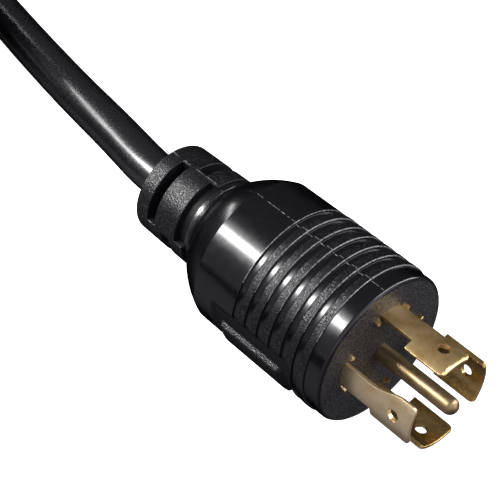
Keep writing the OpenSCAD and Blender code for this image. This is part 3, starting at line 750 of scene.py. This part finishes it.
def across(angle):
    return math.radians(angle) * MID_R


def rounded(corners):
    """An outline from corners of (across, along, radius), each rounded to its radius."""
    line = []
    for i, (s, x, r) in enumerate(corners):
        here = Vector((s, x))
        if r == 0:
            line.append(here)
            continue
        b = (Vector(corners[i - 1][:2]) - here).normalized()
        a = (Vector(corners[(i + 1) % len(corners)][:2]) - here).normalized()
        half = b.angle(a) / 2
        reach = r / math.tan(half)
        middle = here + (b + a).normalized() * (r / math.sin(half))
        p, q = here + b * reach - middle, here + a * reach - middle
        n = 8 if r > 1 else 4
        sweep = p.angle_signed(q)
        for k in range(n + 1):
            t = -sweep * k / n
            line.append(middle + Vector((p.x * math.cos(t) - p.y * math.sin(t),
                                         p.x * math.sin(t) + p.y * math.cos(t))))
    return line


def root(ear, edge, side):
    """Corners on one side, from the carrier to the neck, as (across, along, radius): the
    ear, the nub and the notch."""
    return [(ear, CARRIER_BACK, 0.3), (ear, EAR_X, 0.3), (edge + side * NUB_OUT, EAR_X, 0.1),
            (edge + side * NUB_OUT, NUB_H, 0.4), (edge + side * NUB_IN, NUB_H + NUB_TOP, 0.5),
            (edge + side * NUB_FOOT, ROOT_X, 0.3), (edge, ROOT_X, 0.2)]


def blade_outline(neck, tip, tip_x, flared):
    """The blade's outline laid out flat: tail, ears, nubs, neck, lug or flare, and tip."""
    low, high = map(across, neck)
    far_low, far_high = map(across, tip)
    ear_low, ear_high = map(across, EARS)
    tail = across(TAIL_HALF)
    corners = [(-tail, TAIL_X, 0.4), (tail, TAIL_X, 0.4), (tail, CARRIER_BACK, 0.3),
               *root(ear_high, high, 1), (high, tip_x, 0.25), (far_high, tip_x, 0.35),
               (far_high, BLADE_LEN, TIP_ROUND), (far_low, BLADE_LEN, TIP_ROUND)]
    if flared:
        start, end = tip_x - 1, HOLE_X + 2
        for i in range(FLARE_STEPS, -1, -1):
            t = i / FLARE_STEPS
            corners.append((low + (far_low - low) * half_wave(t), start + (end - start) * t, 0))
    else:
        step = 0.12 if low - far_low < 1 else 0.3
        corners += [(far_low, tip_x, step), (low, tip_x, step * 0.7)]
    return rounded(corners + root(ear_low, low, -1)[::-1] + [(-tail, CARRIER_BACK, 0.3)])


def cut(bm, point, normal):
    bmesh.ops.bisect_plane(bm, geom=bm.verts[:] + bm.edges[:] + bm.faces[:], plane_co=point,
                           plane_no=normal)


def build_blade(name, angle, neck, tip, tip_x, flared, look):
    """A blade, laid out flat, thickened, bevelled and bent to its radius, with its barrel."""
    bm = bmesh.new()
    hole = [Vector((HOLE_R * math.cos(a), HOLE_X + HOLE_R * math.sin(a)))
            for a in (math.radians(360 / HOLE_SIDES * k) for k in range(HOLE_SIDES))]
    edges = []
    for loop in (blade_outline(neck, tip, tip_x, flared), hole):
        ring = [bm.verts.new((p.x, p.y, 0)) for p in loop]
        edges += [bm.edges.new((ring[i - 1], ring[i])) for i in range(len(ring))]
    bmesh.ops.triangle_fill(bm, use_beauty=True, edges=edges)
    for s in STRIPS:
        cut(bm, (s + STRIP_OFF, 0, 0), (1, 0, 0))
    for x in (BLADE_LEN - TIP_DOWN, BLADE_LEN - TIP_UP):
        cut(bm, (0, x, 0), (0, 1, 0))
    over = bmesh.ops.extrude_face_region(bm, geom=bm.faces[:], use_keep_orig=True)["geom"]
    for v in bm.verts:
        v.co.z = -BLADE_T / 2
    for v in over:
        if isinstance(v, bmesh.types.BMVert):
            v.co.z = BLADE_T / 2
    bmesh.ops.recalc_face_normals(bm, faces=bm.faces)
    rims = [e for e in bm.edges if len(e.link_faces) == 2 and e.calc_face_angle() > RIM_ANGLE
            and abs(e.verts[0].co.z - e.verts[1].co.z) < 0.01]
    bmesh.ops.bevel(bm, geom=rims, offset=RIM_BEVEL, segments=2, profile=0.6, affect="EDGES")
    for v in bm.verts:
        s, x, h = v.co
        left = BLADE_LEN - x
        if h > 0:
            h -= TIP_DOWN_BY * min(1, max(0, (TIP_DOWN - left) / TIP_DOWN))
        elif left < TIP_UP:
            h += TIP_UP_BY * (TIP_UP - left) / TIP_UP
        v.co = polar(angle + math.degrees(s / MID_R), MID_R + h, x)
    revolve(bm, [(BARREL_FRONT, BARREL_BORE), (BARREL_FRONT, BARREL_R - BARREL_EDGE),
                 (BARREL_FRONT - BARREL_EDGE, BARREL_R), (BARREL_BACK, BARREL_R),
                 (BARREL_BACK, BARREL_BORE), (BARREL_FRONT, BARREL_BORE)],
            sides=24, middle=polar(angle, MID_R - BARREL_R, 0)[1:])
    bmesh.ops.remove_doubles(bm, verts=bm.verts, dist=0.0005)
    piece = make(name + "_formed", finished(bm, name), PLUG_FACE, [look], name, sharp=40)
    piece.modifiers.new("even_shading", "WEIGHTED_NORMAL").keep_sharp = True


for name, numbers in BLADES.items():
    build_blade(name, *numbers)


def build_pin():
    """The turned pin: barrel, flange in the carrier, shank in the moulding, pin and dome."""
    bm = bmesh.new()
    dome = [(PIN_LEN - PIN_R + PIN_R * math.sin(a), PIN_R * math.cos(a))
            for a in map(math.radians, range(0, 90, 6))]
    revolve(bm, [(BARREL_BACK, 0), (BARREL_BACK, BARREL_R), (-9.4, BARREL_R), (-9.2, FLANGE_R),
                 (-7.7, FLANGE_R), (-7.6, SHANK_R), (-0.5, SHANK_R), (-0.4, PIN_R),
                 (PIN_LEN / 2, PIN_R)] + dome + [(PIN_LEN, 0)], sides=72)
    name = "ground_pin_turned"
    make(name, finished(bm, name), PLUG_FACE, [PIN_BRASS], "ground_pin", sharp=50)


build_pin()


# ---------------------------------------------------------------- floor and light

PLUG_MID = Vector((-0.01, 0, AXIS_H * MM))
KEY_FROM, ROUND_X = (-0.514, -0.516, 0.685), (0, -0.8, -0.6)
# Each softbox: direction from the plug, distance, width and height, radiance, which is what a
# mirror would show, and the direction of its width
SOFTBOXES = {
    "key": (KEY_FROM, 1.0, (0.15, 0.5), 52, ROUND_X),
    "key_spill": (KEY_FROM, 1.05, (0.5, 0.56), 2.6, ROUND_X),
    "cord_strip": ((-0.78, -0.40, 0.48), 1.0, (0.12, 0.4), 11, ROUND_X),
    "cord_far": ((-0.94, -0.037, 0.34), 1.06, (0.62, 0.07), 12, (-0.486, 0.81, -0.325)),
    "rim": ((0.45, 0.72, 0.5), 1.0, (1.3, 0.16), 13, (0.3, -0.6, 0.74)),
    "front": ((0.95, 0.3, 0.1), 0.6, (0.3, 0.09), 4, (0.3, -0.95, 0)),
}


def softbox(name, toward, distance, size, radiance, wide):
    """A plain area light that faces the plug."""
    light = bpy.data.lights.new(name, "AREA")
    light.shape = "RECTANGLE"
    light.size, light.size_y = size
    light.energy = radiance * math.pi * size[0] * size[1]
    lamp = added(name, light)
    back = Vector(toward).normalized()
    side = Vector(wide)
    side = (side - side.dot(back) * back).normalized()
    lamp.matrix_world = (Matrix.Translation(PLUG_MID + distance * back)
                         @ facing(side, back.cross(side), back))
    lamp.visible_camera = False


for name, numbers in SOFTBOXES.items():
    softbox(name, *numbers)

world = bpy.data.worlds.new("studio")
scene.world = world
world.use_nodes = True
sky = world.node_tree
coords = sky.nodes.new("ShaderNodeTexCoord")
aim = sky.nodes.new("ShaderNodeSeparateXYZ")
sky.links.new(coords.outputs["Generated"], aim.inputs["Vector"])


def joined(operation, a, b):
    node = sky.nodes.new("ShaderNodeMath")
    node.operation = operation
    sky.links.new(a, node.inputs[0])
    sky.links.new(b, node.inputs[1])
    return node.outputs["Value"]


def ramp(axis, low, high, most=1):
    """Light that grows to most as the direction goes from low to high on an axis."""
    return ranged(sky, aim.outputs[axis], low, high, 0, most)


ahead_low = joined("MULTIPLY", ramp("X", 0, 0.8, 0.34), ramp("Y", -0.3, 0.3))
ahead_high = joined("MULTIPLY", ramp("X", 0.3, 0.6, 1.1), ramp("Z", -0.1, 0.3))
glow = joined("ADD", joined("ADD", ramp("Y", -0.12, -0.8, 0.36), ramp("Z", -0.1, 1, 0.22)),
              joined("ADD", ahead_low, ahead_high))
# The part is lit by the studio, and the camera sees plain white behind it
studio = sky.nodes["Background"]
studio.inputs["Color"].default_value = (0.9, 0.88, 1, 1)
sky.links.new(glow, studio.inputs["Strength"])
backdrop = sky.nodes.new("ShaderNodeBackground")
backdrop.inputs["Color"].default_value = (1, 1, 1, 1)
either = sky.nodes.new("ShaderNodeMixShader")
sky.links.new(sky.nodes.new("ShaderNodeLightPath").outputs["Is Camera Ray"], either.inputs[0])
sky.links.new(studio.outputs[0], either.inputs[1])
sky.links.new(backdrop.outputs[0], either.inputs[2])
sky.links.new(either.outputs[0], sky.nodes["World Output"].inputs["Surface"])

HALF_FLOOR, FLOOR_DROP = 20, 0.0005
floor_mesh = bpy.data.meshes.new("floor")
floor_mesh.from_pydata([(-HALF_FLOOR, -HALF_FLOOR, 0), (HALF_FLOOR, -HALF_FLOOR, 0),
                        (HALF_FLOOR, HALF_FLOOR, 0), (-HALF_FLOOR, HALF_FLOOR, 0)],
                       [], [(0, 1, 2, 3)])
paper = bpy.data.materials.new("white_sweep")
paper.use_nodes = True
sheen = paper.node_tree.nodes["Principled BSDF"].inputs
sheen["Base Color"].default_value = (0.9, 0.9, 0.9, 1)
sheen["Roughness"].default_value = 0.9
sheen["Emission Color"].default_value = (1, 1, 1, 1)
sheen["Emission Strength"].default_value = 1.0
floor_mesh.materials.append(paper)
floor = added("floor", floor_mesh)
floor.location.z = -FLOOR_DROP
floor.visible_glossy = False
floor.visible_diffuse = False
